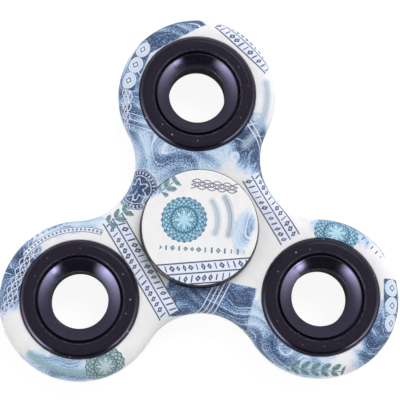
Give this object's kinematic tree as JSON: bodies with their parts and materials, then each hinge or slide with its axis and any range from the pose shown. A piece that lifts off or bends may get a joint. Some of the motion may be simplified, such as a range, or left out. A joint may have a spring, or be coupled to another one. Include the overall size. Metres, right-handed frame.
{
  "type": "fidget spinner",
  "caption": "Flat fidget spinner with printed arms that end in open black ring weights, turning on a hub bearing between round finger caps.",
  "frame": {"origin": "centre of the back cap's outer face, on the spin axis; the spinner lies on this face", "axes": "+Z along the spin axis, from the back cap to the front cap; +Y along one arm; +X across the other two arms"},
  "size_m": [0.0744, 0.0683, 0.0124],
  "materials": {
    "body_print": "moulded ABS, ivory with a blue and grey-green transfer print under a satin clear coat",
    "cap_print": "moulded black ABS, the flat outer face printed ivory with a teal and slate design under a satin clear coat",
    "weight_black": "turned steel, satin black coat",
    "eyelet_black": "turned aluminium with fine turning lines, polished and anodised black",
    "bearing_steel": "ground and polished bearing steel",
    "cage_steel": "pressed steel strip, tumbled",
    "shield_steel": "pressed steel, fine circular brushing"
  },
  "bodies": {
    "grip": {"front_cap": "cap_print", "back_cap": "cap_print", "inner_race": "bearing_steel"},
    "spinner": {"spinner_body": "body_print", "outer_race": "bearing_steel", "front_shield": "shield_steel", "back_shield": "shield_steel", "weight_ring_1": "weight_black", "weight_ring_2": "weight_black", "weight_ring_3": "weight_black", "front_eyelet_1": "eyelet_black", "back_eyelet_1": "eyelet_black", "front_eyelet_2": "eyelet_black", "back_eyelet_2": "eyelet_black", "front_eyelet_3": "eyelet_black", "back_eyelet_3": "eyelet_black"},
    "cage": {"cage_front_half": "cage_steel", "cage_back_half": "cage_steel", "cage_rivets": "cage_steel"},
    "ball_1": {"bearing_ball_1": "bearing_steel"},
    "ball_2": {"bearing_ball_2": "bearing_steel"},
    "ball_3": {"bearing_ball_3": "bearing_steel"},
    "ball_4": {"bearing_ball_4": "bearing_steel"},
    "ball_5": {"bearing_ball_5": "bearing_steel"},
    "ball_6": {"bearing_ball_6": "bearing_steel"},
    "ball_7": {"bearing_ball_7": "bearing_steel"}
  },
  "joints": [
    {"name": "spin", "type": "hinge", "parent": "grip", "child": "spinner", "pos_m": [0, 0, 0.0062], "axis": [0, 0, 1], "continuous": true},
    {"name": "cage_roll", "type": "hinge", "parent": "grip", "child": "cage", "pos_m": [0, 0, 0.0062], "axis": [0, 0, 1], "continuous": true},
    {"name": "ball_1_roll", "type": "hinge", "parent": "cage", "child": "ball_1", "pos_m": [0.0075, 0, 0.0062], "axis": [0, 0, 1], "continuous": true},
    {"name": "ball_2_roll", "type": "hinge", "parent": "cage", "child": "ball_2", "pos_m": [0.00468, 0.00586, 0.0062], "axis": [0, 0, 1], "continuous": true},
    {"name": "ball_3_roll", "type": "hinge", "parent": "cage", "child": "ball_3", "pos_m": [-0.00167, 0.00731, 0.0062], "axis": [0, 0, 1], "continuous": true},
    {"name": "ball_4_roll", "type": "hinge", "parent": "cage", "child": "ball_4", "pos_m": [-0.00676, 0.00325, 0.0062], "axis": [0, 0, 1], "continuous": true},
    {"name": "ball_5_roll", "type": "hinge", "parent": "cage", "child": "ball_5", "pos_m": [-0.00676, -0.00325, 0.0062], "axis": [0, 0, 1], "continuous": true},
    {"name": "ball_6_roll", "type": "hinge", "parent": "cage", "child": "ball_6", "pos_m": [-0.00167, -0.00731, 0.0062], "axis": [0, 0, 1], "continuous": true},
    {"name": "ball_7_roll", "type": "hinge", "parent": "cage", "child": "ball_7", "pos_m": [0.00468, -0.00586, 0.0062], "axis": [0, 0, 1], "continuous": true}
  ],
  "couplings": [
    {"joint": "cage_roll", "follows": "spin", "ratio": 0.6323},
    {"joint": "ball_1_roll", "follows": "spin", "ratio": 1.7573},
    {"joint": "ball_2_roll", "follows": "spin", "ratio": 1.7573},
    {"joint": "ball_3_roll", "follows": "spin", "ratio": 1.7573},
    {"joint": "ball_4_roll", "follows": "spin", "ratio": 1.7573},
    {"joint": "ball_5_roll", "follows": "spin", "ratio": 1.7573},
    {"joint": "ball_6_roll", "follows": "spin", "ratio": 1.7573},
    {"joint": "ball_7_roll", "follows": "spin", "ratio": 1.7573}
  ]
}
